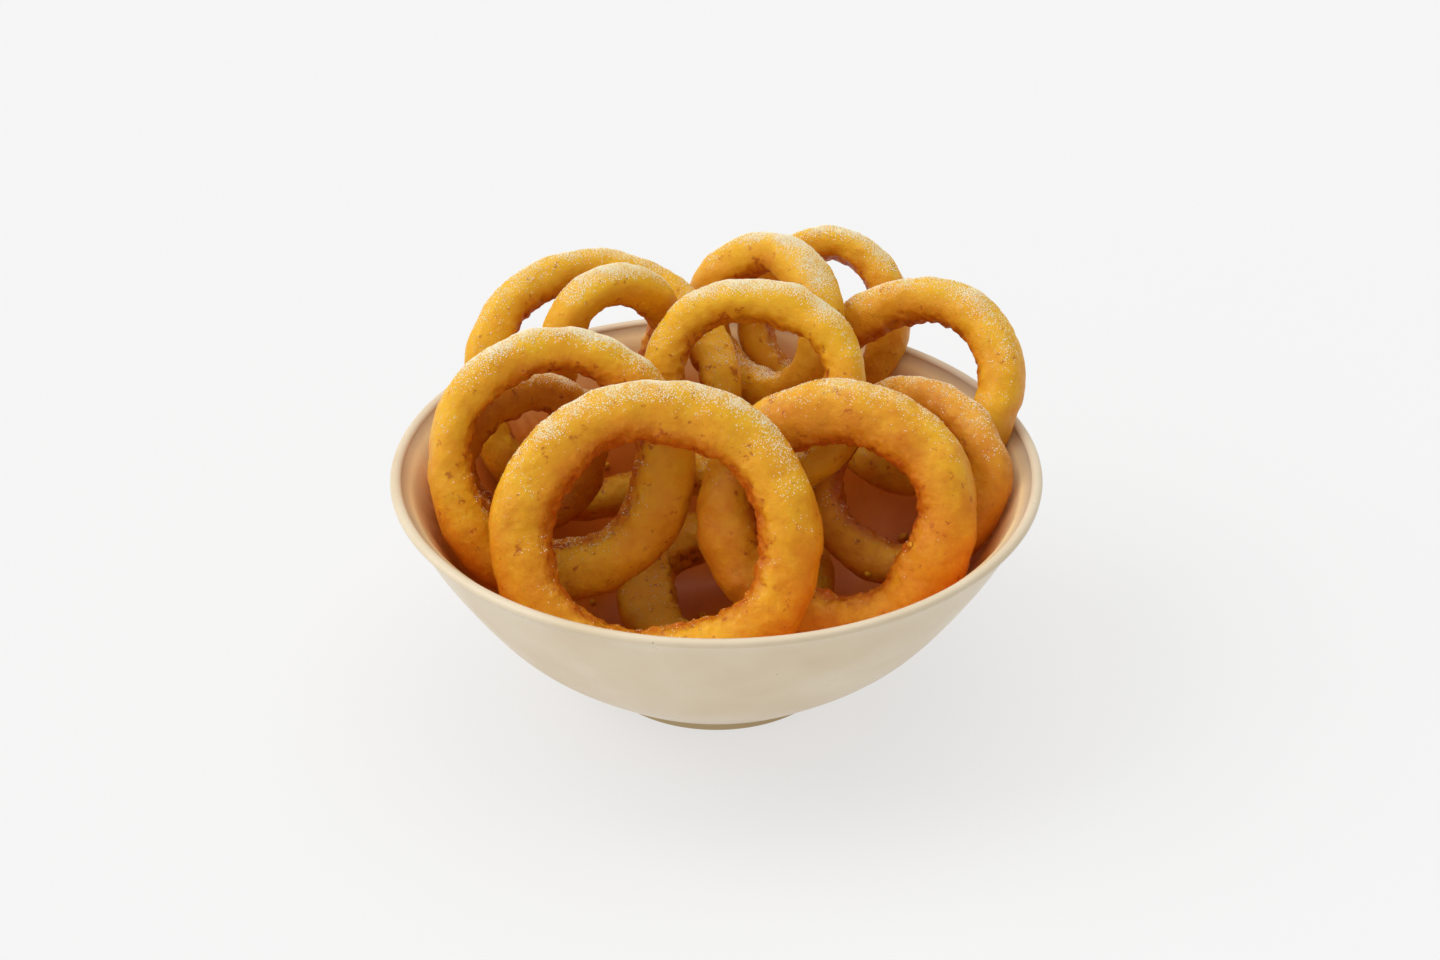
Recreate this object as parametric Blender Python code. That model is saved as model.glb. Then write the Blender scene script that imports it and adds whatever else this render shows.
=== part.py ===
# A cream stoneware bowl heaped with twelve battered onion rings, all as separate closed solids.
# Sizes are in millimetres here and become metres on the way into Blender. +Z is up, the origin is
# the middle of the foot on the table, and -Y is the side that the heap shows its front to.
import math

import bmesh
import bpy
import numpy as np
from mathutils import Matrix, Vector, noise

MM = 0.001

# Bowl
RIM_DIAMETER = 170.0
BOWL_HEIGHT = 62.3
FOOT_RADIUS = 32.0
FOOT_HEIGHT = 3.4
FOOT_EDGE = 1.0  # rounding under the foot, and how far it flares to the wall
WALL_ACROSS = 3.4  # wall measured level, so about 2.5 mm square to the slope
LIP_WIDTH = 3.0
LIP_DROP = 2.4  # how far down the rounded lip reaches on its outer side
LIP_ANGLES = (-30, 20, 65, 100, 140, 185)  # round the lip from outside, over the top, to inside
FLOOR_HEIGHT = 6.2  # inside floor above the table
FLOOR_EDGE = ((36.0, 8.2), (28.0, 6.4))  # (radius, height) where the inside wall turns to the floor
BOWL_SEGMENTS = 60
# Outer wall above the foot, as (height, radius)
WALL_POINTS = ((6.0, 37.5), (12.5, 46.6), (25.0, 61.1), (43.6, 74.5), (59.2, 83.1))

# Batter tube of a ring
STATIONS = 32  # cross-sections round a ring
SIDES = 10  # points on a cross-section
SQUARENESS = 2.4  # 2 is an ellipse, more is fuller at the corners, as a cut onion band is
CRAG_HEIGHT = 0.35
CRAG_SPACING = 9.0
# Unevenness round a ring, as (share of the size, waves in a turn)
THICK_WAVES = ((0.05, 3), (0.04, 5))
DEEP_WAVES = ((0.05, 2), (0.04, 4))
OUTLINE_WAVES = ((0.012, 3), (0.010, 4), (0.006, 7))
SLIGHT_BEND = 0.8  # saddle warp of a ring that shows none
SHARP_ANGLE = 50  # degrees between faces, above which an edge is shaded sharp

# across and tall are a ring's outer sizes, thick its tube seen from the front, deep its tube along
# the axis. x, y, z is its centre. faces turns the axis from -Y towards +X, leans tips it upwards,
# and turn spins the ring about its axis. heavy thickens the tube on the side heavy_at, and bend
# warps the ring like a saddle with its high sides at bend_at.
RINGS = (
    dict(name="ring_front_left", across=86.5, tall=81, thick=16.5, deep=15.5, x=-15.5, y=-26.0, z=56.0,
         faces=-2, leans=32, seed=1),
    dict(name="ring_front_right", across=74, tall=72, thick=16.5, deep=15.5, x=31.5, y=-13.5, z=54.5,
         faces=-12, leans=28, seed=2),
    dict(name="ring_left", across=71, tall=73, thick=14.0, deep=14.0, x=-40.5, y=-3.0, z=63.5,
         faces=12, leans=26, heavy=3.0, heavy_at=-60, seed=3),
    dict(name="ring_left_small", across=48, tall=48, thick=11.0, deep=12.0, x=-51.5, y=13.5, z=56.5,
         faces=22, leans=7, seed=4),
    dict(name="ring_back_left", across=77, tall=75, thick=11.5, deep=12.5, x=-32.0, y=44.0, z=62.0,
         faces=11, leans=32, bend=5.5, bend_at=-18, seed=5),
    dict(name="ring_back_upright", across=45, tall=53, thick=11.0, deep=11.5, x=-29.0, y=40.5, z=74.5,
         faces=30, leans=-9, seed=6),
    dict(name="ring_back_middle", across=57, tall=49, thick=12.0, deep=13.0, x=13.5, y=57.5, z=73.5,
         faces=-48, leans=22, seed=7),
    dict(name="ring_middle", across=62, tall=62, thick=11.5, deep=12.5, x=9.5, y=19.5, z=73.0,
         faces=-12, leans=30, seed=8),
    dict(name="ring_back_right", across=50, tall=52, thick=10.0, deep=10.5, x=30.0, y=69.5, z=68.5,
         faces=-19, leans=28, seed=9),
    dict(name="ring_right", across=66, tall=59, thick=12.5, deep=12.0, x=53.5, y=36.5, z=65.5,
         faces=-38, leans=28, turn=14, bend=2.5, bend_at=-45, seed=10),
    dict(name="ring_right_low", across=59, tall=56, thick=11.5, deep=11.0, x=50.0, y=6.5, z=53.5,
         faces=-33, leans=37, turn=20, seed=11),
    dict(name="ring_bottom", across=60, tall=60, thick=15.0, deep=13.0, x=3.0, y=5.5, z=20.5,
         faces=-25, leans=75, seed=12),
)

# Rings low in the bowl kept more oil and look browner
BROWN_RINGS = ("ring_left_small", "ring_right_low", "ring_bottom")


def clear_scene():
    for obj in list(bpy.data.objects):
        bpy.data.objects.remove(obj, do_unlink=True)


def make_material(name, colour, roughness):
    """Colour is linear RGB. Neither glaze nor batter is metallic."""
    material = bpy.data.materials.new(name)
    material.use_nodes = True
    shader = material.node_tree.nodes["Principled BSDF"]
    shader.inputs["Base Color"].default_value = (*colour, 1.0)
    shader.inputs["Roughness"].default_value = roughness
    shader.inputs["Metallic"].default_value = 0.0
    material.diffuse_color = (*colour, 1.0)
    return material


def add_object(name, bm, material, parent):
    """Turns a bmesh in millimetres into an object in metres under the parent."""
    bmesh.ops.scale(bm, vec=(MM, MM, MM), verts=bm.verts)
    bmesh.ops.recalc_face_normals(bm, faces=bm.faces)
    bmesh.ops.triangulate(bm, faces=bm.faces)
    mesh = bpy.data.meshes.new(name)
    bm.to_mesh(mesh)
    bm.free()
    mesh.shade_smooth()
    mesh.set_sharp_from_angle(angle=math.radians(SHARP_ANGLE))
    mesh.materials.append(material)
    obj = bpy.data.objects.new(name, mesh)
    bpy.context.scene.collection.objects.link(obj)
    obj.parent = parent
    return obj


def smooth_curve(points, steps):
    """Catmull-Rom curve through the points, with so many steps between each two."""
    points = [np.array(point, float) for point in points]
    padded = [2 * points[0] - points[1], *points, 2 * points[-1] - points[-2]]
    curve = []
    for before, start, end, after in zip(padded, padded[1:], padded[2:], padded[3:]):
        for step in range(steps):
            t = step / steps
            curve.append(0.5 * (2 * start + (end - before) * t
                                + (2 * before - 5 * start + 4 * end - after) * t ** 2
                                + (3 * start - before - 3 * end + after) * t ** 3))
    return curve + [points[-1]]


def bowl_profile():
    """(radius, height) from the middle of the base, up the outside, over the lip and down inside."""
    wall = smooth_curve(WALL_POINTS, 2)
    outside = [(0.0, 0.0), (FOOT_RADIUS - FOOT_EDGE, 0.0), (FOOT_RADIUS, 0.8 * FOOT_EDGE),
               (FOOT_RADIUS + FOOT_EDGE, FOOT_HEIGHT)]
    outside += [(radius, height) for height, radius in wall]
    lip_middle = RIM_DIAMETER / 2 - LIP_WIDTH / 2
    lip = []
    for angle in LIP_ANGLES:
        turned = math.radians(angle)
        lip.append((lip_middle + LIP_WIDTH / 2 * math.cos(turned),
                    BOWL_HEIGHT - LIP_DROP / 2 + LIP_DROP / 2 * math.sin(turned)))
    inside = [(radius - WALL_ACROSS, height) for height, radius in reversed(wall)
              if height > FLOOR_HEIGHT + WALL_ACROSS]
    return outside + lip + inside + [*FLOOR_EDGE, (0.0, FLOOR_HEIGHT)]


def make_bowl(material, parent):
    """The profile spun round the upright axis."""
    bm = bmesh.new()
    points = [bm.verts.new((radius, 0.0, height)) for radius, height in bowl_profile()]
    edges = [bm.edges.new(pair) for pair in zip(points, points[1:])]
    bmesh.ops.spin(bm, geom=points + edges, cent=(0, 0, 0), axis=(0, 0, 1), angle=math.tau,
                   steps=BOWL_SEGMENTS, use_merge=True)
    bmesh.ops.remove_doubles(bm, verts=bm.verts, dist=0.001)
    return add_object("bowl", bm, material, parent)


def uneven(waves, angle, phases):
    """One, more or less, by a few waves round a ring."""
    return 1 + sum(share * math.cos(count * angle + phase) for (share, count), phase in zip(waves, phases))


def tube_at(ring, angle, phases):
    """Middle radius, half thickness, half depth and lift of the batter tube at an angle round a ring."""
    half = ring["thick"] / 2 * uneven(THICK_WAVES, angle, phases[:2])
    half += ring.get("heavy", 0.0) / 2 * math.cos(angle - math.radians(ring.get("heavy_at", 0)))
    depth = ring["deep"] / 2 * uneven(DEEP_WAVES, angle, phases[2:4])
    oval = 1 / math.hypot(math.cos(angle) / (ring["across"] / 2), math.sin(angle) / (ring["tall"] / 2))
    outline = oval * uneven(OUTLINE_WAVES, angle, phases[4:7])
    lift = ring.get("bend", SLIGHT_BEND) * math.cos(2 * (angle - math.radians(ring.get("bend_at", 0))))
    return outline - half, half, depth, lift


def rounded(value):
    """One coordinate of the fuller-than-oval cross-section, from the cosine or sine of its angle."""
    return math.copysign(abs(value) ** (2 / SQUARENESS), value)


def make_ring(ring, material, parent):
    """An uneven tube of batter closed on itself, made flat about +Z and then set in the heap."""
    phases = np.random.default_rng(ring["seed"]).uniform(0, math.tau, 7)
    bm = bmesh.new()
    loops = []
    for station in range(STATIONS):
        angle = math.tau * station / STATIONS
        middle, half, depth, lift = tube_at(ring, angle, phases)
        loop = []
        for side in range(SIDES):
            section = math.tau * (side + 0.5) / SIDES
            out = middle + half * rounded(math.cos(section))
            point = Vector((out * math.cos(angle), out * math.sin(angle),
                            lift + depth * rounded(math.sin(section))))
            outward = Vector((math.cos(section) * math.cos(angle), math.cos(section) * math.sin(angle),
                              math.sin(section)))
            crag = noise.noise(point / CRAG_SPACING + Vector((7.0 * ring["seed"], 0.0, 0.0)))
            loop.append(bm.verts.new(point + outward * CRAG_HEIGHT * crag))
        loops.append(loop)
    for loop, following in zip(loops, loops[1:] + loops[:1]):
        for side in range(SIDES):
            after = (side + 1) % SIDES
            bm.faces.new((loop[side], following[side], following[after], loop[after]))
    obj = add_object(ring["name"], bm, material, parent)
    tilt = (Matrix.Rotation(math.radians(ring["faces"]), 4, "Z")
            @ Matrix.Rotation(math.radians(90 - ring["leans"]), 4, "X")
            @ Matrix.Rotation(math.radians(ring.get("turn", 0)), 4, "Z"))
    obj.rotation_euler = tilt.to_euler()
    obj.location = Vector((ring["x"], ring["y"], ring["z"])) * MM
    return obj


def make_all():
    clear_scene()
    serving = bpy.data.objects.new("onion_rings_in_bowl", None)
    bpy.context.scene.collection.objects.link(serving)
    glaze = make_material("cream_glaze", (0.68, 0.57, 0.43), 0.25)
    golden = make_material("golden_batter", (0.66, 0.33, 0.045), 0.55)
    brown = make_material("brown_batter", (0.45, 0.16, 0.025), 0.5)
    make_bowl(glaze, serving)
    for ring in RINGS:
        make_ring(ring, brown if ring["name"] in BROWN_RINGS else golden, serving)


make_all()
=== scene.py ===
import math

import bmesh
import bpy
import numpy as np
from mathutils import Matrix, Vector, noise
from mathutils.bvhtree import BVHTree


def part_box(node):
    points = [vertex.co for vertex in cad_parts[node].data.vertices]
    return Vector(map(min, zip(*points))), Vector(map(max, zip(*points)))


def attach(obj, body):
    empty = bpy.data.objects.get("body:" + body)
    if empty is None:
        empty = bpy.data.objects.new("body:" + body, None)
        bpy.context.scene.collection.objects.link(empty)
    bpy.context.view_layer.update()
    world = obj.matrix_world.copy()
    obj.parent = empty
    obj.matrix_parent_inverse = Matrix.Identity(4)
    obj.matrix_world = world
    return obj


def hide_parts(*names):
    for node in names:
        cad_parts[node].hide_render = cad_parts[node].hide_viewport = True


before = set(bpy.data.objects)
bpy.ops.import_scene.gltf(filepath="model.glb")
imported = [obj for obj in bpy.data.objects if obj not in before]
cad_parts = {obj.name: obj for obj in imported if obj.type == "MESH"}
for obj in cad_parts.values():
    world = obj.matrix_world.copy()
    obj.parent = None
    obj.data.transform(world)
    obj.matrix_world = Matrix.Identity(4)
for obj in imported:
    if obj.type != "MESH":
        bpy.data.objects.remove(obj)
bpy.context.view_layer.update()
mm = 0.001
shadedLowRings = ("ring_left_small", "ring_right_low", "ring_bottom")  # low in the bowl: painted shade, they take the darker copy of the batter
ringNames = sorted(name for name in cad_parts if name.startswith("ring_"))
print("frame loaded,", len(ringNames), "rings and the bowl")


def hexColour(text):
    # sRGB hex to the linear colour that Blender's sockets hold
    parts = [int(text[i:i + 2], 16) / 255 for i in (1, 3, 5)]
    linear = [p / 12.92 if p <= 0.04045 else ((p + 0.055) / 1.055) ** 2.4 for p in parts]
    return (*linear, 1.0)


def addNode(tree, kind, inputs=None, **settings):
    # inputs maps a socket's name or number to a value, or to another node's output. Numbers stand where
    # names repeat: Map Range goes from 1 and 2 to 3 and 4, and a Mix's 0 is the share of 7 over 6 in a
    # colour, or of 3 over 2 in a number
    node = tree.nodes.new(kind)
    for name, value in settings.items():
        setattr(node, name, value)
    for socket, value in (inputs or {}).items():
        if isinstance(value, bpy.types.NodeSocket):
            tree.links.new(value, node.inputs[socket])
        else:
            node.inputs[socket].default_value = value
    return node


def newMaterial(name, **constants):
    # constants are the shader's own sockets, named with spaces turned to underscores
    material = bpy.data.materials.new(name)
    material.use_nodes = True
    tree = material.node_tree
    shader = tree.nodes["Principled BSDF"]
    for socket, value in constants.items():
        shader.inputs[socket.replace("_", " ")].default_value = value
    return material, tree, shader


def newObject(name, mesh, material):
    mesh.materials.clear()
    mesh.materials.append(material)
    obj = bpy.data.objects.new(name, mesh)
    bpy.context.scene.collection.objects.link(obj)
    return obj


# Camera and light
cameraPlace = {
    "lookAt": (0.95 * mm, 0.0, 57.6 * mm),
    "distance": 890 * mm,
    "elevation": 30.5,  # degrees above the table
    "lens": 85.0,  # mm, as Blender takes it, and so is the sensor
    "sensor": 36.0,
    "clipStart": 10 * mm,
}
studio = {
    "skyStrength": 0.46,
    "windows": (  # wide suns for large soft windows: name, direction they stand in, strength, degrees across
        ("window_left", (-1.0, 0.1, 1.0), 1.4, 45.0),
        ("skylight", (0.1, 0.25, 1.0), 1.0, 60.0),
        ("window_front", (-1.0, -0.8, 0.6), 0.35, 55.0),
    ),
    "floorColour": "#888888",
    "floorShade": 0.99,  # how dark its faint grain gets, against the colour
    "floorGrain": 40.0,  # mm
    "floorGlow": 0.635,  # the board is lit from behind, which keeps the shadow on it faint
    "floorSize": 6.0,  # m
}


def makeCamera(place):
    tilt = math.radians(place["elevation"])
    data = bpy.data.cameras.new("photoCamera")
    data.lens = place["lens"]
    data.sensor_width = place["sensor"]
    data.clip_start = place["clipStart"]
    camera = bpy.data.objects.new("photoCamera", data)
    away = Vector((0.0, -math.cos(tilt), math.sin(tilt))) * place["distance"]
    camera.location = Vector(place["lookAt"]) + away
    camera.rotation_euler = (math.pi / 2 - tilt, 0.0, 0.0)
    bpy.context.scene.collection.objects.link(camera)
    bpy.context.scene.camera = camera


def backlitAcrylic(settings):
    # opal acrylic board, sanded and lit from behind: pale and even, with only a faint soft shadow on it
    material, tree, shader = newMaterial("backlit_opal_acrylic", Roughness=0.9, Specular_IOR_Level=0.1,
                                         Emission_Strength=settings["floorGlow"])
    shader.inputs["Emission Color"].default_value = (1.0, 1.0, 1.0, 1.0)
    coords = addNode(tree, "ShaderNodeTexCoord").outputs["Object"]
    grain = addNode(tree, "ShaderNodeTexNoise",
                    {"Vector": coords, "Scale": 1 / (settings["floorGrain"] * mm)})
    paint = hexColour(settings["floorColour"])
    darker = (*(part * settings["floorShade"] for part in paint[:3]), 1.0)
    shade = addNode(tree, "ShaderNodeMix", {0: grain.outputs["Fac"], 6: paint, 7: darker}, data_type="RGBA")
    tree.links.new(shade.outputs[2], shader.inputs["Base Color"])
    return material


def makeStudio(settings):
    scene = bpy.context.scene
    scene.view_settings.view_transform = "Standard"
    world = bpy.data.worlds.new("studio")
    world.use_nodes = True
    background = world.node_tree.nodes["Background"]
    background.inputs["Color"].default_value = (1.0, 1.0, 1.0, 1.0)
    background.inputs["Strength"].default_value = settings["skyStrength"]
    scene.world = world
    for name, shinesFrom, strength, across in settings["windows"]:
        sunData = bpy.data.lights.new(name, "SUN")
        sunData.energy = strength
        sunData.angle = math.radians(across)
        sun = bpy.data.objects.new(name, sunData)
        sun.rotation_euler = Vector(shinesFrom).to_track_quat("Z", "Y").to_euler()
        scene.collection.objects.link(sun)
    half = settings["floorSize"] / 2
    corners = [(-half, -half, 0), (half, -half, 0), (half, half, 0), (-half, half, 0)]
    mesh = bpy.data.meshes.new("floor")
    mesh.from_pydata(corners, [], [(0, 1, 2, 3)])
    newObject("floor", mesh, backlitAcrylic(settings))


makeCamera(cameraPlace)
makeStudio(studio)
print("camera, light and floor set")


# Bowl: the solid's own profile in millimetres, turned finer
bowlShape = {
    "segments": 192,
    "wallSteps": 6,  # points between two of the wall's own
    "rimGrow": 1.0008,  # the solid's lip has corners and stops a hair short of its round
    "footRadius": 32.0,
    "foot": (  # (past the foot's radius, height), from under it to the wall
        (-3.0, 0.0), (-0.8, 0.0), (-0.2, 0.25), (0.0, 0.8), (0.4, 2.2), (1.0, 3.4), (2.6, 4.6),
    ),
    "wall": ((6.0, 37.5), (12.5, 46.6), (25.0, 61.1), (43.6, 74.5), (59.2, 83.1)),  # outer (height, radius)
    "wallAcross": 3.4,
    "wallEnds": 10.0,  # height inside at which the wall turns to the floor
    "lipWidth": 3.0,
    "lipDrop": 2.4,
    "lipAngles": (-30, 190, 12),  # degrees: from, up to, step
    "floor": ((8.2, 36.0), (6.4, 28.0), (6.2, 14.0)),  # inner (height, radius)
    "floorSteps": 4,
    "merge": 0.02,  # points closer than this are one
}
bowlLook = {
    "glaze": "#D8C4A4",
    "glazeWarm": "#CDB590",  # low on the outside
    "glazePale": "#E2D2B6",
    "cloudSize": 28.0,  # mm, the glaze's thick and thin places
    "clouds": (0.35, 0.7),  # part of the noise that goes from pale to full glaze
    "warmHeights": (34.0, 5.0),  # mm: where the warm tone starts and is full
    "insideGlazeAndLight": "#FFE8B4",  # painted light: the wall inside is paler, as if lit through the rings
    "speck": "#7A5A3A",
    "speckSpacing": 5.0,  # mm
    "speckEdge": (0.055, 0.02),  # cells from its middle: where a speck starts and is full
    "speckShare": 0.18,
    "biscuit": "#B79F78",  # the bare foot
    "bareBelow": (3.6, 3.0),  # mm
    "oil": "#D0740E",  # streaks
    "oilFilmGlow": "#FF9E14",  # thin oil film, with a painted reflection of the orange rings in it
    "oilPoolShade": "#D4700A",  # oil pooled under the heap, darker with painted shade there
    "streakSize": (13.0, 26.0),  # mm across and down
    "streakEdge": (0.5, 0.66),  # noise at which a streak starts and is full
    "filmGlowHeights": (58.0, 44.0),  # mm: where the film starts and is full
    "poolShadeHeights": (50.0, 30.0),
    "underHeap": (-72.0, -30.0),  # mm along Y: no ring drips on, reflects onto or shades the wall in front of the first
    "frontOilAndGlow": 0.18,  # share of the oil, painted reflection and painted shade that is left there
    "filmGlowShare": 0.85,
    "poolShadeShare": 0.9,
    "gloss": (0.24, 0.36),  # roughness
    "bareRoughness": 0.75,
    "peelSize": 5.0,  # mm, orange peel of the glaze
    "gritSize": 0.5,  # mm, on the bare foot
    "relief": 0.12,  # mm
    "reliefStrength": 0.25,
}


def smoothCurve(points, steps):
    # Catmull-Rom curve through the points
    points = [np.array(point, float) for point in points]
    padded = [2 * points[0] - points[1], *points, 2 * points[-1] - points[-2]]
    curve = []
    for before, start, end, after in zip(padded, padded[1:], padded[2:], padded[3:]):
        for t in np.arange(steps) / steps:
            curve.append(0.5 * (2 * start + (end - before) * t
                                + (2 * before - 5 * start + 4 * end - after) * t ** 2
                                + (3 * start - before - 3 * end + after) * t ** 3))
    return curve + [points[-1]]


def bowlProfile(shape, rimRadius, height):
    # (radius, height) up the outside, over the lip and down to the middle inside, and how many are outside
    wall = smoothCurve(shape["wall"], shape["wallSteps"])
    outside = [(0.0, 0.0), *((shape["footRadius"] + past, level) for past, level in shape["foot"])]
    outside += [(radius, level) for level, radius in wall]
    middle = rimRadius - shape["lipWidth"] / 2
    lip = []
    for turned in np.radians(np.arange(*shape["lipAngles"])):
        lip.append((middle + shape["lipWidth"] / 2 * math.cos(turned),
                    height - shape["lipDrop"] / 2 * (1 - math.sin(turned))))
    inside = [(radius - shape["wallAcross"], level) for level, radius in reversed(wall)
              if level > shape["wallEnds"]]
    lastRadius, lastLevel = inside[-1]
    floorCurve = smoothCurve(((lastLevel, lastRadius), *shape["floor"]), shape["floorSteps"])
    inside += [(radius, level) for level, radius in floorCurve[1:]]
    middleLevel = shape["floor"][-1][0]
    return outside + lip + inside + [(0.0, middleLevel)], len(outside) + len(lip)


def makeBowlMesh(shape):
    _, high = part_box("bowl")
    profile, outsideCount = bowlProfile(shape, high[0] / mm * shape["rimGrow"], high[2] / mm)
    bm = bmesh.new()
    insideLayer = bm.verts.layers.float.new("inside")
    verts = []
    for i, (radius, level) in enumerate(profile):
        vert = bm.verts.new((radius * mm, 0.0, level * mm))
        vert[insideLayer] = 1.0 if i >= outsideCount else 0.0
        verts.append(vert)
    edges = [bm.edges.new(pair) for pair in zip(verts, verts[1:])]
    bmesh.ops.spin(bm, geom=verts + edges, cent=(0, 0, 0), axis=(0, 0, 1), angle=math.tau,
                   steps=shape["segments"], use_merge=True)
    bmesh.ops.remove_doubles(bm, verts=bm.verts, dist=shape["merge"] * mm)
    bmesh.ops.recalc_face_normals(bm, faces=bm.faces)
    mesh = bpy.data.meshes.new("stoneware_bowl")
    bm.to_mesh(mesh)
    bm.free()
    mesh.shade_smooth()
    return mesh


def glazedStoneware(look):
    # glazed stoneware, dipped and fired: a soft gloss over a cream that pools a little darker, with a few
    # iron specks, a bare foot, brown frying oil run down the inside, and painted light inside: a paler wall,
    # a painted reflection of the rings in the oil film and painted shade in its pool
    material, tree, shader = newMaterial("glazed_stoneware", IOR=1.5, Specular_IOR_Level=0.25)
    coords = addNode(tree, "ShaderNodeTexCoord").outputs["Object"]
    inside = addNode(tree, "ShaderNodeAttribute", attribute_name="inside").outputs["Fac"]
    place = addNode(tree, "ShaderNodeSeparateXYZ", {0: coords})
    level = place.outputs["Z"]

    # cream in thick and thin clouds, warmer low down. Most of a noise lies between 0.3 and 0.7
    cloud = addNode(tree, "ShaderNodeTexNoise",
                    {"Vector": coords, "Scale": 1 / (look["cloudSize"] * mm), "Detail": 3.0})
    palest, fullest = look["clouds"]
    thick = addNode(tree, "ShaderNodeMapRange", {"Value": cloud.outputs["Fac"], 1: palest, 2: fullest})
    colour = addNode(tree, "ShaderNodeMix",
                     {0: thick.outputs[0], 6: hexColour(look["glazePale"]), 7: hexColour(look["glaze"])},
                     data_type="RGBA")
    warmFrom, warmTo = look["warmHeights"]
    lowDown = addNode(tree, "ShaderNodeMapRange", {"Value": level, 1: warmFrom * mm, 2: warmTo * mm})
    colour = addNode(tree, "ShaderNodeMix",
                     {0: lowDown.outputs[0], 6: colour.outputs[2], 7: hexColour(look["glazeWarm"])},
                     data_type="RGBA")

    # iron specks: one cell in a few has a small dot at its middle
    cells = addNode(tree, "ShaderNodeTexVoronoi",
                    {"Vector": coords, "Scale": 1 / (look["speckSpacing"] * mm)})
    speckFrom, speckTo = look["speckEdge"]
    near = addNode(tree, "ShaderNodeMapRange", {"Value": cells.outputs["Distance"], 1: speckFrom, 2: speckTo})
    pick = addNode(tree, "ShaderNodeSeparateColor", {0: cells.outputs["Color"]})
    few = addNode(tree, "ShaderNodeMath", {0: pick.outputs[0], 1: 1 - look["speckShare"]},
                  operation="GREATER_THAN")
    speck = addNode(tree, "ShaderNodeMath", {0: near.outputs[0], 1: few.outputs[0]}, operation="MULTIPLY")
    colour = addNode(tree, "ShaderNodeMix",
                     {0: speck.outputs[0], 6: colour.outputs[2], 7: hexColour(look["speck"])},
                     data_type="RGBA")
    # painted light: the inside wall is made paler, as if lit through the rings
    colour = addNode(tree, "ShaderNodeMix",
                     {0: inside, 6: colour.outputs[2], 7: hexColour(look["insideGlazeAndLight"])}, data_type="RGBA")

    # oil inside, where the heap drips: streaks stretched downwards, and a thin film that is partly oil and
    # partly painted reflection of the orange rings
    across, down = look["streakSize"]
    stretched = addNode(tree, "ShaderNodeMapping",
                        {"Vector": coords, "Scale": (1 / (across * mm), 1 / (across * mm), 1 / (down * mm))})
    run = addNode(tree, "ShaderNodeTexNoise",
                  {"Vector": stretched.outputs[0], "Scale": 1.0, "Detail": 4.0, "Roughness": 0.6})
    streakFrom, streakTo = look["streakEdge"]
    streak = addNode(tree, "ShaderNodeMapRange", {"Value": run.outputs["Fac"], 1: streakFrom, 2: streakTo})
    filmFrom, filmTo = look["filmGlowHeights"]
    deep = addNode(tree, "ShaderNodeMapRange", {"Value": level, 1: filmFrom * mm, 2: filmTo * mm})
    frontY, heapY = look["underHeap"]
    beneath = addNode(tree, "ShaderNodeMapRange",
                      {"Value": place.outputs["Y"], 1: frontY * mm, 2: heapY * mm, 3: look["frontOilAndGlow"]})
    belowHeapInside = addNode(tree, "ShaderNodeMath", {0: beneath.outputs[0], 1: inside}, operation="MULTIPLY")
    wetAndLit = addNode(tree, "ShaderNodeMath", {0: deep.outputs[0], 1: belowHeapInside.outputs[0]}, operation="MULTIPLY")
    # the film is partly a painted reflection of the orange rings on the wall
    filmGlow = addNode(tree, "ShaderNodeMath", {0: wetAndLit.outputs[0], 1: look["filmGlowShare"]}, operation="MULTIPLY")
    colour = addNode(tree, "ShaderNodeMix",
                     {0: filmGlow.outputs[0], 6: colour.outputs[2], 7: hexColour(look["oilFilmGlow"])},
                     data_type="RGBA")
    smear = addNode(tree, "ShaderNodeMath", {0: streak.outputs[0], 1: wetAndLit.outputs[0]}, operation="MULTIPLY")
    colour = addNode(tree, "ShaderNodeMix",
                     {0: smear.outputs[0], 6: colour.outputs[2], 7: hexColour(look["oil"])},
                     data_type="RGBA")

    # and a darker pool towards the floor: oil, with painted shade under the heap
    poolFrom, poolTo = look["poolShadeHeights"]
    shadedPool = addNode(tree, "ShaderNodeMapRange",
                     {"Value": level, 1: poolFrom * mm, 2: poolTo * mm, 3: 0.0, 4: look["poolShadeShare"]})
    puddleShade = addNode(tree, "ShaderNodeMath", {0: shadedPool.outputs[0], 1: belowHeapInside.outputs[0]},
                     operation="MULTIPLY")
    colour = addNode(tree, "ShaderNodeMix",
                     {0: puddleShade.outputs[0], 6: colour.outputs[2], 7: hexColour(look["oilPoolShade"])},
                     data_type="RGBA")

    # bare biscuit under the foot
    bareFrom, bareTo = look["bareBelow"]
    bare = addNode(tree, "ShaderNodeMapRange", {"Value": level, 1: bareFrom * mm, 2: bareTo * mm})
    outside = addNode(tree, "ShaderNodeMath", {0: 1.0, 1: inside}, operation="SUBTRACT")
    biscuit = addNode(tree, "ShaderNodeMath", {0: bare.outputs[0], 1: outside.outputs[0]},
                      operation="MULTIPLY")
    colour = addNode(tree, "ShaderNodeMix",
                     {0: biscuit.outputs[0], 6: colour.outputs[2], 7: hexColour(look["biscuit"])},
                     data_type="RGBA")
    tree.links.new(colour.outputs[2], shader.inputs["Base Color"])

    glossy, duller = look["gloss"]
    gloss = addNode(tree, "ShaderNodeMapRange",
                    {"Value": cloud.outputs["Fac"], 1: 0.2, 2: 0.8, 3: glossy, 4: duller})
    rough = addNode(tree, "ShaderNodeMix",
                    {0: biscuit.outputs[0], 2: gloss.outputs[0], 3: look["bareRoughness"]})
    tree.links.new(rough.outputs[0], shader.inputs["Roughness"])

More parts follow.
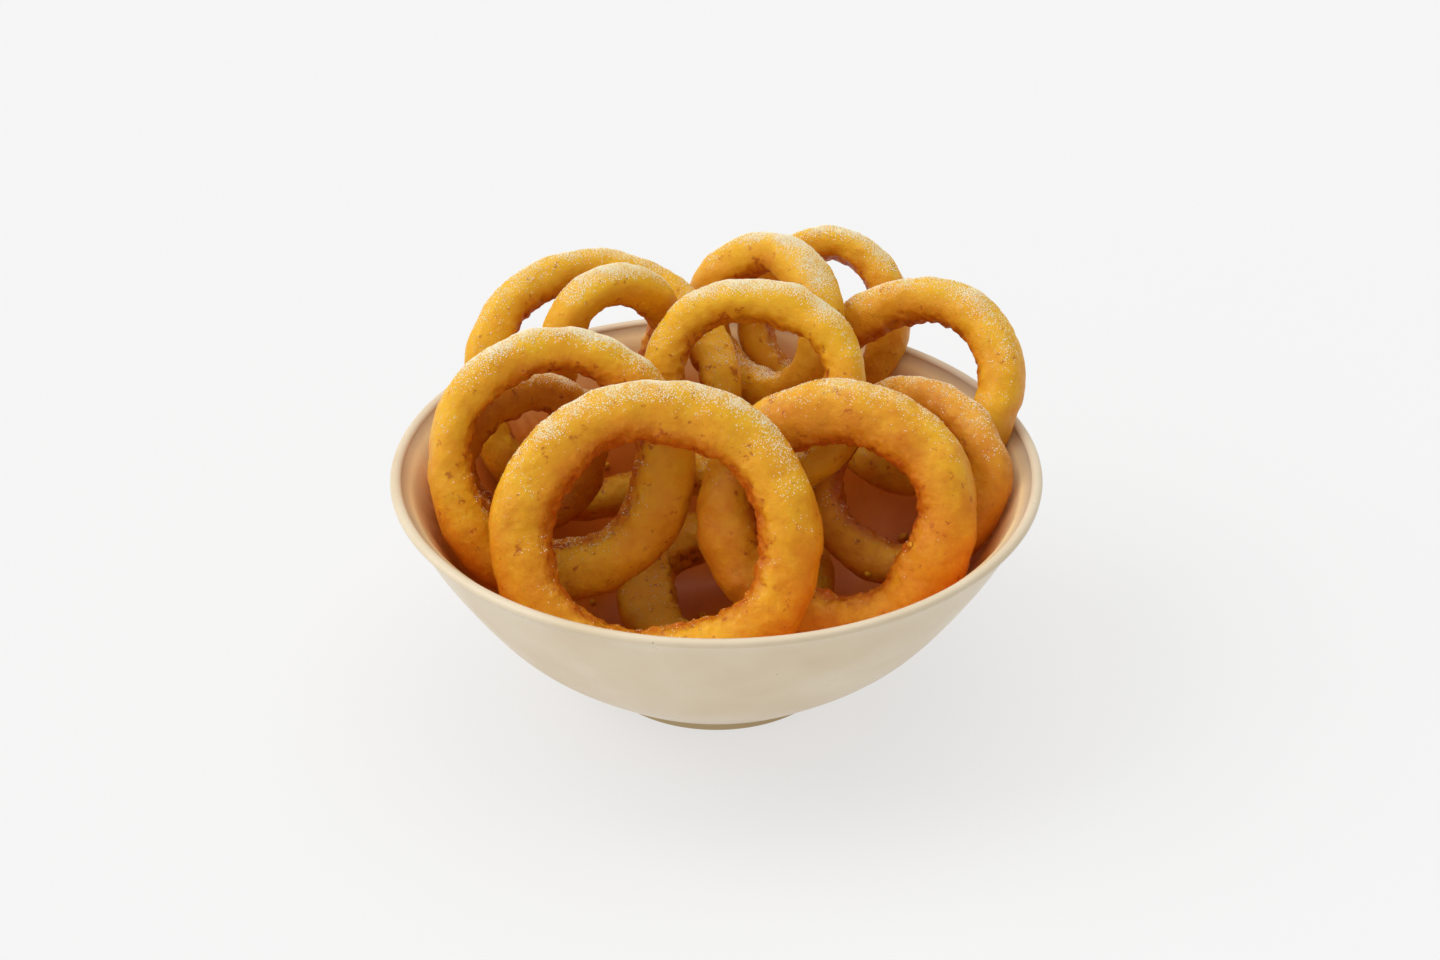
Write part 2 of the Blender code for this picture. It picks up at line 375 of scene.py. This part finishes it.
    peel = addNode(tree, "ShaderNodeTexNoise",
                   {"Vector": coords, "Scale": 1 / (look["peelSize"] * mm), "Detail": 2.0})
    grit = addNode(tree, "ShaderNodeTexNoise", {"Vector": coords, "Scale": 1 / (look["gritSize"] * mm)})
    gritty = addNode(tree, "ShaderNodeMath", {0: grit.outputs["Fac"], 1: biscuit.outputs[0]},
                     operation="MULTIPLY")
    height = addNode(tree, "ShaderNodeMath", {0: peel.outputs["Fac"], 1: gritty.outputs[0]}, operation="ADD")
    bump = addNode(tree, "ShaderNodeBump", {"Height": height.outputs[0], "Strength": look["reliefStrength"],
                                            "Distance": look["relief"] * mm})
    tree.links.new(bump.outputs[0], shader.inputs["Normal"])
    return material


bowl = newObject("stoneware_bowl", makeBowlMesh(bowlShape), glazedStoneware(bowlLook))
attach(bowl, "root")
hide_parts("bowl")
print("bowl turned,", len(bowl.data.polygons), "faces")


# Rings: each solid's own form, smoothed, then roughened as fried batter is
ringShape = {
    "levels": 3,
    "nearLevels": 4,  # for the rings that show largest
    "near": ("ring_front_left", "ring_front_right", "ring_left"),
    "quadAngles": (60, 70),  # degrees: the most that two triangles of a quad may bend, and its corners skew
    "merge": 0.01,  # this and the spacings and heights in mm
    "lumpSpacing": 8.0,
    "lumpHeight": 0.8,
    "crustSpacing": 2.8,
    "crustHeight": 0.2,
    "gritSpacing": 1.3,
    "gritHeight": 0.09,
    "holeCrust": 3.6,  # how many times craggier the skin gets where it faces the hole
    "noiseStep": (13.7, 5.1, 0.0),  # from one ring's part of the noise to the next one's
}
goldenLook = {
    "straw": "#F0B822",
    "gold": "#E09218",
    "amber": "#C4620A",
    "brown": "#A8400C",
    "frost": "#FFE6A8",
    "amberAllOver": 0.0,  # share of amber all over
}
# painted shade: a darker copy of the golden batter, for the rings low in the bowl
shadedLook = {
    "straw": "#EAA820",
    "gold": "#DC8C14",
    "amber": "#BC580A",
    "brown": "#8E340A",
    "frost": "#F0D090",
    "amberAllOver": 0.12,
}
# sizes and strengths that both batters share; sizes and heights in mm
batterLook = {
    "cloudSize": 11.0,
    "clouds": (-0.25, 0.45),  # how much less or more straw they give
    "mottleSize": 4.0,
    "patches": (-0.1, 0.4),  # share of amber in the palest and the brownest patch
    # the hole's edge is browned and also darker with painted shade
    "holeAmberAndShade": 0.75,
    # painted shade: more amber low in the heap
    "lowHeights": (62.0, 15.0),
    "lowShadeAmber": 0.22,
    "skyLightAmber": -0.25,  # painted light: what faces up gets less amber, paler as if lit from above
    "fleckSize": 3.2,
    "fleckEdge": (0.61, 0.68),  # noise at which a fleck starts and is full
    "fleckShare": 0.65,
    "holeFlecks": 0.09,
    "bloomSize": 7.0,
    "bloomEdge": (0.42, 0.65),
    "bloomShare": 0.18,
    "bloomHeights": (45.0, 80.0),
    "roughness": (0.34, 0.56),
    "blisterSize": 1.3,
    "blisterDepth": -0.45,  # against the fine skin's 1
    "skinSize": 0.5,
    "skinStrength": 0.75,
    "relief": 0.35,
    "lightDepth": 4.0,  # how far light wanders in the batter
}
# how much browner, or paler below zero, than the others a ring came out of the oil
ringTones = {
    "ring_front_left": 0.1,
    "ring_front_right": 0.24,
    "ring_right": 0.04,
    "ring_right_low": 0.14,
    "ring_left_small": 0.12,
    "ring_middle": -0.35,
    "ring_back_middle": -0.15,
    "ring_back_upright": -0.2,
    "ring_back_left": -0.2,
    "ring_back_right": -0.1,
    "ring_bottom": -0.45,
}


def smoothSolid(name, shape):
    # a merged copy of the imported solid, with its triangles paired to quads and subdivided
    bm = bmesh.new()
    bm.from_mesh(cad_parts[name].data)
    bmesh.ops.remove_doubles(bm, verts=bm.verts, dist=shape["merge"] * mm)
    for edge in bm.edges:
        edge.smooth = True
    bend, skew = shape["quadAngles"]
    bmesh.ops.join_triangles(bm, faces=bm.faces, angle_face_threshold=math.radians(bend),
                             angle_shape_threshold=math.radians(skew))
    solidVolume = bm.calc_volume()
    mesh = bpy.data.meshes.new(name + "_coarse")
    bm.to_mesh(mesh)
    bm.free()
    obj = bpy.data.objects.new(name + "_coarse", mesh)
    bpy.context.scene.collection.objects.link(obj)
    levels = shape["nearLevels"] if name in shape["near"] else shape["levels"]
    smoother = obj.modifiers.new("smooth", "SUBSURF")
    smoother.levels = levels
    smoother.render_levels = levels
    fine = bpy.data.meshes.new_from_object(obj.evaluated_get(bpy.context.evaluated_depsgraph_get()))
    bpy.data.objects.remove(obj)
    bpy.data.meshes.remove(mesh)
    return fine, solidVolume


def roughen(mesh, solidVolume, shape, seed, ringTone):
    # pushes the skin out to the solid's own volume, then adds lumps, crust and grit along the normals
    bm = bmesh.new()
    bm.from_mesh(mesh)
    bm.normal_update()
    area = sum(face.calc_area() for face in bm.faces)
    push = (solidVolume - bm.calc_volume()) / area
    shift = Vector([step * seed for step in shape["noiseStep"]])
    centre = sum((vert.co for vert in bm.verts), Vector()) / len(bm.verts)
    skyward = bm.verts.layers.float.new("skyward")
    holeSide = bm.verts.layers.float.new("hole_side")
    tone = bm.verts.layers.float.new("tone")
    for vert in bm.verts:
        spot = vert.co / mm + shift
        lump = noise.noise(spot / shape["lumpSpacing"]) * shape["lumpHeight"]
        crust = noise.noise(spot / shape["crustSpacing"] + shift) * shape["crustHeight"]
        grit = noise.noise(spot / shape["gritSpacing"] - shift) * shape["gritHeight"]
        inward = (centre - vert.co).normalized()
        vert[tone] = ringTone
        vert[skyward] = max(0.0, vert.normal.z)
        vert[holeSide] = max(0.0, vert.normal.dot(inward))
        crag = (crust + grit) * (1 + shape["holeCrust"] * vert[holeSide])
        vert.co += vert.normal * (push + (lump + crag) * mm)
    bm.to_mesh(mesh)
    bm.free()
    mesh.shade_smooth()
    mesh.update()
    return push


def friedBatter(name, look, shared):
    # wheat-flour batter, deep fried: slightly see-through gold under a thin film of oil, yellower where it
    # faces up (painted light), browned round the hole with painted shade there too, darker low in the heap
    # (painted shade), with small dark flecks and a pale dry bloom on top
    material, tree, shader = newMaterial(name, IOR=1.45, Coat_Weight=0.1, Coat_Roughness=0.22,
                                         Specular_IOR_Level=0.25, Subsurface_Weight=0.45,
                                         Subsurface_Scale=shared["lightDepth"] * mm)
    shader.inputs["Subsurface Radius"].default_value = (1.0, 0.4, 0.08)
    coords = addNode(tree, "ShaderNodeTexCoord").outputs["Object"]
    skyward = addNode(tree, "ShaderNodeAttribute", attribute_name="skyward").outputs["Fac"]
    holeSide = addNode(tree, "ShaderNodeAttribute", attribute_name="hole_side").outputs["Fac"]
    tone = addNode(tree, "ShaderNodeAttribute", attribute_name="tone").outputs["Fac"]
    level = addNode(tree, "ShaderNodeSeparateXYZ", {0: coords}).outputs["Z"]

    # painted light: gold to straw by how far the skin faces up, paler as if lit from above, in soft clouds
    cloud = addNode(tree, "ShaderNodeTexNoise", {"Vector": coords, "Scale": 1 / (shared["cloudSize"] * mm),
                                                 "Detail": 4.0, "Roughness": 0.55})
    leastStraw, mostStraw = shared["clouds"]
    cloudy = addNode(tree, "ShaderNodeMapRange",
                     {"Value": cloud.outputs["Fac"], 1: 0.35, 2: 0.68, 3: leastStraw, 4: mostStraw})
    fried = addNode(tree, "ShaderNodeMath", {0: cloudy.outputs[0], 1: tone}, operation="SUBTRACT")
    # painted light: more straw where the skin faces up
    pale = addNode(tree, "ShaderNodeMath", {0: skyward, 1: fried.outputs[0]}, operation="ADD", use_clamp=True)
    colour = addNode(tree, "ShaderNodeMix",
                     {0: pale.outputs[0], 6: hexColour(look["gold"]), 7: hexColour(look["straw"])},
                     data_type="RGBA")

    # amber: browned patches, the hole's edge (browned, and painted shade), painted shade low in the heap, and
    # less on what faces up (painted light)
    mottle = addNode(tree, "ShaderNodeTexNoise", {"Vector": coords, "Scale": 1 / (shared["mottleSize"] * mm),
                                                  "Detail": 6.0, "Roughness": 0.68})
    leastAmber, mostAmber = shared["patches"]
    patch = addNode(tree, "ShaderNodeMapRange",
                    {"Value": mottle.outputs["Fac"], 1: 0.4, 2: 0.75, 3: leastAmber, 4: mostAmber})
    # the hole's edge: browned, and darker with painted shade
    hollow = addNode(tree, "ShaderNodeMapRange",
                     {"Value": holeSide, 1: 0.25, 2: 0.85, 3: 0.0, 4: shared["holeAmberAndShade"]})
    # painted shade: more amber low in the heap
    lowFrom, lowTo = shared["lowHeights"]
    low = addNode(tree, "ShaderNodeMapRange", {"Value": level, 1: lowFrom * mm, 2: lowTo * mm,
                                               3: look["amberAllOver"], 4: shared["lowShadeAmber"]})
    # painted light: less amber on what faces up
    sky = addNode(tree, "ShaderNodeMath", {0: skyward, 1: shared["skyLightAmber"], 2: tone},
                  operation="MULTIPLY_ADD")
    edges = addNode(tree, "ShaderNodeMath", {0: hollow.outputs[0], 1: low.outputs[0]}, operation="ADD")
    blotched = addNode(tree, "ShaderNodeMath", {0: edges.outputs[0], 1: patch.outputs[0]}, operation="ADD")
    darkened = addNode(tree, "ShaderNodeMath", {0: blotched.outputs[0], 1: sky.outputs[0]}, operation="ADD",
                      use_clamp=True)
    colour = addNode(tree, "ShaderNodeMix",
                     {0: darkened.outputs[0], 6: colour.outputs[2], 7: hexColour(look["amber"])},
                     data_type="RGBA")

    # brown flecks of scorched crumb, about 1 mm, closer together round the hole
    flecks = addNode(tree, "ShaderNodeTexNoise", {"Vector": coords, "Scale": 1 / (shared["fleckSize"] * mm),
                                                  "Detail": 4.0, "Roughness": 0.7})
    more = addNode(tree, "ShaderNodeMath", {0: holeSide, 1: shared["holeFlecks"], 2: flecks.outputs["Fac"]},
                   operation="MULTIPLY_ADD")
    fleckFrom, fleckTo = shared["fleckEdge"]
    fleck = addNode(tree, "ShaderNodeMapRange",
                    {"Value": more.outputs[0], 1: fleckFrom, 2: fleckTo, 3: 0.0, 4: shared["fleckShare"]})
    colour = addNode(tree, "ShaderNodeMix",
                     {0: fleck.outputs[0], 6: colour.outputs[2], 7: hexColour(look["brown"])},
                     data_type="RGBA")

    # a dry, paler bloom under the grains, high in the heap and on what faces up
    bank = addNode(tree, "ShaderNodeTexNoise", {"Vector": coords, "Scale": 1 / (shared["bloomSize"] * mm),
                                                "Detail": 5.0, "Roughness": 0.6})
    lifted = addNode(tree, "ShaderNodeMath", {0: bank.outputs["Fac"], 1: skyward}, operation="MULTIPLY")
    bloomFrom, bloomTo = shared["bloomEdge"]
    dusted = addNode(tree, "ShaderNodeMapRange",
                     {"Value": lifted.outputs[0], 1: bloomFrom, 2: bloomTo, 3: 0.0, 4: shared["bloomShare"]})
    highFrom, highTo = shared["bloomHeights"]
    high = addNode(tree, "ShaderNodeMapRange", {"Value": level, 1: highFrom * mm, 2: highTo * mm})
    bloom = addNode(tree, "ShaderNodeMath", {0: dusted.outputs[0], 1: high.outputs[0]}, operation="MULTIPLY")
    colour = addNode(tree, "ShaderNodeMix",
                     {0: bloom.outputs[0], 6: colour.outputs[2], 7: hexColour(look["frost"])},
                     data_type="RGBA")
    tree.links.new(colour.outputs[2], shader.inputs["Base Color"])

    oiliest, driest = shared["roughness"]
    oily = addNode(tree, "ShaderNodeMapRange",
                   {"Value": mottle.outputs["Fac"], 1: 0.3, 2: 0.7, 3: oiliest, 4: driest})
    tree.links.new(oily.outputs[0], shader.inputs["Roughness"])

    blister = addNode(tree, "ShaderNodeTexVoronoi",
                      {"Vector": coords, "Scale": 1 / (shared["blisterSize"] * mm), "Smoothness": 0.5},
                      feature="SMOOTH_F1")
    skin = addNode(tree, "ShaderNodeTexNoise", {"Vector": coords, "Scale": 1 / (shared["skinSize"] * mm),
                                                "Detail": 4.0, "Roughness": 0.65})
    height = addNode(tree, "ShaderNodeMath",
                     {0: blister.outputs["Distance"], 1: shared["blisterDepth"], 2: skin.outputs["Fac"]},
                     operation="MULTIPLY_ADD")
    bump = addNode(tree, "ShaderNodeBump", {"Height": height.outputs[0], "Strength": shared["skinStrength"],
                                            "Distance": shared["relief"] * mm})
    tree.links.new(bump.outputs[0], shader.inputs["Normal"])
    return material


goldenBatter = friedBatter("golden_fried_batter", goldenLook, batterLook)
# painted shade: the darker copy of the same batter
shadedBatter = friedBatter("shaded_fried_batter", shadedLook, batterLook)


def makeRing(name, seed):
    mesh, solidVolume = smoothSolid(name, ringShape)
    push = roughen(mesh, solidVolume, ringShape, seed, ringTones.get(name, 0.0))
    # painted shade: rings low in the bowl take the darker copy
    darkened = name in shadedLowRings
    ring = newObject("battered_" + name, mesh, shadedBatter if darkened else goldenBatter)
    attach(ring, "root")
    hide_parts(name)
    print(name, len(mesh.polygons), "faces, skin pushed out", round(push / mm, 2), "mm")
    return ring


rings = [makeRing(name, seed) for seed, name in enumerate(ringNames, 1)]


# Grains: dry batter dust and salt stuck to the rings, banked where the skin faces up
grainShape = {
    "size": 0.38,  # mm across
    "perSquareMm": 21.0,
    "leastStretch": (0.5, 0.5, 0.4),  # of a grain along its own X, Y and Z
    "mostStretch": (1.3, 1.2, 0.9),
    "turn": 6.3,  # radians, the most about each axis
    "bankSpacing": 6.0,  # mm
    "bankEdge": (0.38, 0.64),  # noise at which a bank starts and is full
    "betweenBanks": 0.25,  # share of the grains there
    "fellFrom": (0.0, 0.1, 1.0),  # the dust came down a little from behind
    "steepest": 0.4,  # least share of the normal towards it that holds a grain
    "heights": (42.0, 92.0),  # mm above the table: fewest grains at the first, most at the second
    "lowShare": 0.02,  # of them at the first
    "barer": {  # rings with only this share of the grains
        "ring_front_right": 0.3,
        "ring_right": 0.7,
        "ring_right_low": 0.5,
        "ring_back_left": 0.45,
    },
}
grainLook = {
    "bright": "#FFFAEA",
    "toasted": "#FFE6B0",
    "tintSize": 0.9,  # mm
    "roughness": (0.2, 0.5),
    "lightDepth": 0.5,  # mm
    "relief": 0.05,  # mm
    "reliefStrength": 0.3,
}


def grainTree(shape, material):
    tree = bpy.data.node_groups.new("scatter_grains", "GeometryNodeTree")
    tree.interface.new_socket("Geometry", in_out="INPUT", socket_type="NodeSocketGeometry")
    for label in ("Grain size", "Grains per square metre", "Bank scale", "Steepest", "Low", "High"):
        tree.interface.new_socket(label, in_out="INPUT", socket_type="NodeSocketFloat")
    tree.interface.new_socket("Fell from", in_out="INPUT", socket_type="NodeSocketVector")
    tree.interface.new_socket("Seed", in_out="INPUT", socket_type="NodeSocketInt")
    tree.interface.new_socket("Geometry", in_out="OUTPUT", socket_type="NodeSocketGeometry")
    given = addNode(tree, "NodeGroupInput").outputs

    # density: more grains on what faces the falling dust, higher up and in banks
    normal = addNode(tree, "GeometryNodeInputNormal")
    facing = addNode(tree, "ShaderNodeVectorMath", {0: normal.outputs[0], 1: given["Fell from"]},
                     operation="DOT_PRODUCT")
    held = addNode(tree, "ShaderNodeMapRange",
                   {"Value": facing.outputs["Value"], 1: given["Steepest"], 2: 1.0})
    crest = addNode(tree, "ShaderNodeMath", {0: held.outputs[0], 1: 2.0}, operation="POWER")
    bank = addNode(tree, "ShaderNodeTexNoise", {"Scale": given["Bank scale"], "Detail": 3.0})
    bankFrom, bankTo = shape["bankEdge"]
    banked = addNode(tree, "ShaderNodeMapRange",
                     {"Value": bank.outputs["Fac"], 1: bankFrom, 2: bankTo, 3: shape["betweenBanks"], 4: 1.0})
    place = addNode(tree, "ShaderNodeSeparateXYZ", {0: addNode(tree, "GeometryNodeInputPosition").outputs[0]})
    higher = addNode(tree, "ShaderNodeMapRange", {"Value": place.outputs["Z"], 1: given["Low"],
                                                  2: given["High"], 3: shape["lowShare"]})
    top = addNode(tree, "ShaderNodeMath", {0: crest.outputs[0], 1: higher.outputs[0]}, operation="MULTIPLY")
    share = addNode(tree, "ShaderNodeMath", {0: top.outputs[0], 1: banked.outputs[0]}, operation="MULTIPLY")
    density = addNode(tree, "ShaderNodeMath", {0: share.outputs[0], 1: given["Grains per square metre"]},
                      operation="MULTIPLY")
    points = addNode(tree, "GeometryNodeDistributePointsOnFaces",
                     {"Mesh": given["Geometry"], "Density": density.outputs[0], "Seed": given["Seed"]},
                     distribute_method="RANDOM")

    # each grain is a 20-sided pebble, turned and stretched at random
    grain = addNode(tree, "GeometryNodeMeshIcoSphere", {"Radius": 0.5, "Subdivisions": 1})
    turn = addNode(tree, "FunctionNodeRandomValue",
                   {0: (0.0, 0.0, 0.0), 1: (shape["turn"],) * 3, "Seed": given["Seed"]},
                   data_type="FLOAT_VECTOR")
    uneven = addNode(tree, "FunctionNodeRandomValue",
                     {0: shape["leastStretch"], 1: shape["mostStretch"], "Seed": given["Seed"]},
                     data_type="FLOAT_VECTOR")
    size = addNode(tree, "ShaderNodeVectorMath", {0: uneven.outputs[0], "Scale": given["Grain size"]},
                   operation="SCALE")
    placed = addNode(tree, "GeometryNodeInstanceOnPoints",
                     {"Points": points.outputs[0], "Instance": grain.outputs[0], "Rotation": turn.outputs[0],
                      "Scale": size.outputs[0]})
    real = addNode(tree, "GeometryNodeRealizeInstances", {0: placed.outputs[0]})
    painted = addNode(tree, "GeometryNodeSetMaterial", {"Geometry": real.outputs[0], "Material": material})
    addNode(tree, "NodeGroupOutput", {0: painted.outputs[0]})
    return tree


def dryBatterGrain(look):
    # dried flour batter and fine salt: pale, rough grains that catch the light one by one
    material, tree, shader = newMaterial("dry_batter_grains", IOR=1.5, Subsurface_Weight=0.2,
                                         Subsurface_Scale=look["lightDepth"] * mm)
    coords = addNode(tree, "ShaderNodeTexCoord").outputs["Object"]
    tint = addNode(tree, "ShaderNodeTexNoise",
                   {"Vector": coords, "Scale": 1 / (look["tintSize"] * mm), "Detail": 2.0})
    spread = addNode(tree, "ShaderNodeMapRange", {"Value": tint.outputs["Fac"], 1: 0.3, 2: 0.7})
    colour = addNode(tree, "ShaderNodeMix",
                     {0: spread.outputs[0], 6: hexColour(look["bright"]), 7: hexColour(look["toasted"])},
                     data_type="RGBA")
    tree.links.new(colour.outputs[2], shader.inputs["Base Color"])
    smoothest, roughest = look["roughness"]
    rough = addNode(tree, "ShaderNodeMapRange",
                    {"Value": tint.outputs["Fac"], 1: 0.3, 2: 0.7, 3: smoothest, 4: roughest})
    tree.links.new(rough.outputs[0], shader.inputs["Roughness"])
    bump = addNode(tree, "ShaderNodeBump",
                   {"Height": tint.outputs["Fac"], "Strength": look["reliefStrength"],
                    "Distance": look["relief"] * mm})
    tree.links.new(bump.outputs[0], shader.inputs["Normal"])
    return material


def scatterGrains(ring, shape, tree, seed):
    share = shape["barer"].get(ring.name.removeprefix("battered_"), 1.0)
    obj = bpy.data.objects.new("grains", ring.data)
    bpy.context.scene.collection.objects.link(obj)
    scatter = obj.modifiers.new("grains", "NODES")
    scatter.node_group = tree
    sockets = {item.name: item.identifier for item in tree.interface.items_tree if item.in_out == "INPUT"}
    scatter[sockets["Grain size"]] = shape["size"] * mm
    scatter[sockets["Grains per square metre"]] = shape["perSquareMm"] * share / mm ** 2
    scatter[sockets["Bank scale"]] = 1 / (shape["bankSpacing"] * mm)
    scatter[sockets["Steepest"]] = shape["steepest"]
    scatter[sockets["Low"]] = shape["heights"][0] * mm
    scatter[sockets["High"]] = shape["heights"][1] * mm
    scatter[sockets["Fell from"]] = shape["fellFrom"]
    scatter[sockets["Seed"]] = seed
    mesh = bpy.data.meshes.new_from_object(obj.evaluated_get(bpy.context.evaluated_depsgraph_get()))
    bpy.data.objects.remove(obj)
    return mesh


grainMaterial = dryBatterGrain(grainLook)
scatterTree = grainTree(grainShape, grainMaterial)
for seed, ring in enumerate(rings, 1):
    mesh = scatterGrains(ring, grainShape, scatterTree, seed)
    grains = newObject(ring.name.replace("battered_ring", "grains"), mesh, grainMaterial)
    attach(grains, "root")
    print(grains.name, len(mesh.polygons), "faces")


# Crumbs: broken bits of batter, each where the photograph shows it, resting on what its sight line meets
crumbShape = {
    "photoSize": (1440, 960),
    "places": (  # pixel across, pixel down, mm wide
        (904, 539, 2.6), (911, 546, 1.7), (702, 617, 1.8), (868, 574, 1.6), (592, 603, 1.7), (606, 466, 1.9),
    ),
    "subdivisions": 3,  # of the ball that a crumb is broken from
    "flatness": 0.7,
    "ragged": ((0.45, 1.4), (0.2, 4.0)),  # (share of the size, waves in a mm)
    "noiseStep": 9.0,  # from one crumb's part of the noise to the next one's
    "lift": 0.25,  # share of the width from the skin to a crumb's middle
}


def sightLine(pixel, place, photoSize):
    # the line from the camera through a pixel of the photograph
    camera = bpy.context.scene.camera
    across = (pixel[0] - photoSize[0] / 2) / photoSize[0] * place["sensor"]
    down = (pixel[1] - photoSize[1] / 2) / photoSize[0] * place["sensor"]
    direction = Vector((across, -down, -place["lens"])).normalized()
    return camera.location.copy(), camera.rotation_euler.to_matrix() @ direction


def nearestHit(trees, start, direction):
    hits = [tree.ray_cast(start, direction) for tree in trees]
    return min((hit for hit in hits if hit[0] is not None), key=lambda hit: hit[3])


def makeCrumbs(shape, pieces, material):
    trees = []
    for piece in pieces:
        spots = [vert.co for vert in piece.data.vertices]
        trees.append(BVHTree.FromPolygons(spots, [face.vertices for face in piece.data.polygons]))
    bm = bmesh.new()
    for number, (across, down, width) in enumerate(shape["places"]):
        start, direction = sightLine((across, down), cameraPlace, shape["photoSize"])
        spot, normal, _, _ = nearestHit(trees, start, direction)
        ball = bmesh.ops.create_icosphere(bm, subdivisions=shape["subdivisions"],
                                          radius=width / 2 * mm)["verts"]
        for vert in ball:
            away = vert.co / mm + Vector((shape["noiseStep"] * number, 0.0, 0.0))
            vert.co *= 1 + sum(amount * noise.noise(away * waves) for amount, waves in shape["ragged"])
            vert.co.z *= shape["flatness"]
        turn = normal.to_track_quat("Z", "Y").to_matrix()
        bmesh.ops.rotate(bm, verts=ball, cent=(0, 0, 0), matrix=turn)
        bmesh.ops.translate(bm, verts=ball, vec=spot + normal * width * shape["lift"] * mm)
    skyward = bm.verts.layers.float.new("skyward")
    bm.normal_update()
    for vert in bm.verts:
        vert[skyward] = max(0.0, vert.normal.z)
    mesh = bpy.data.meshes.new("loose_crumbs")
    bm.to_mesh(mesh)
    bm.free()
    mesh.shade_smooth()
    return newObject("loose_crumbs", mesh, material)


# the crumbs take the darker copy of the batter, with its painted shade
crumbs = makeCrumbs(crumbShape, [bowl, *rings], shadedBatter)
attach(crumbs, "root")
print("crumbs set down,", len(crumbShape["places"]))
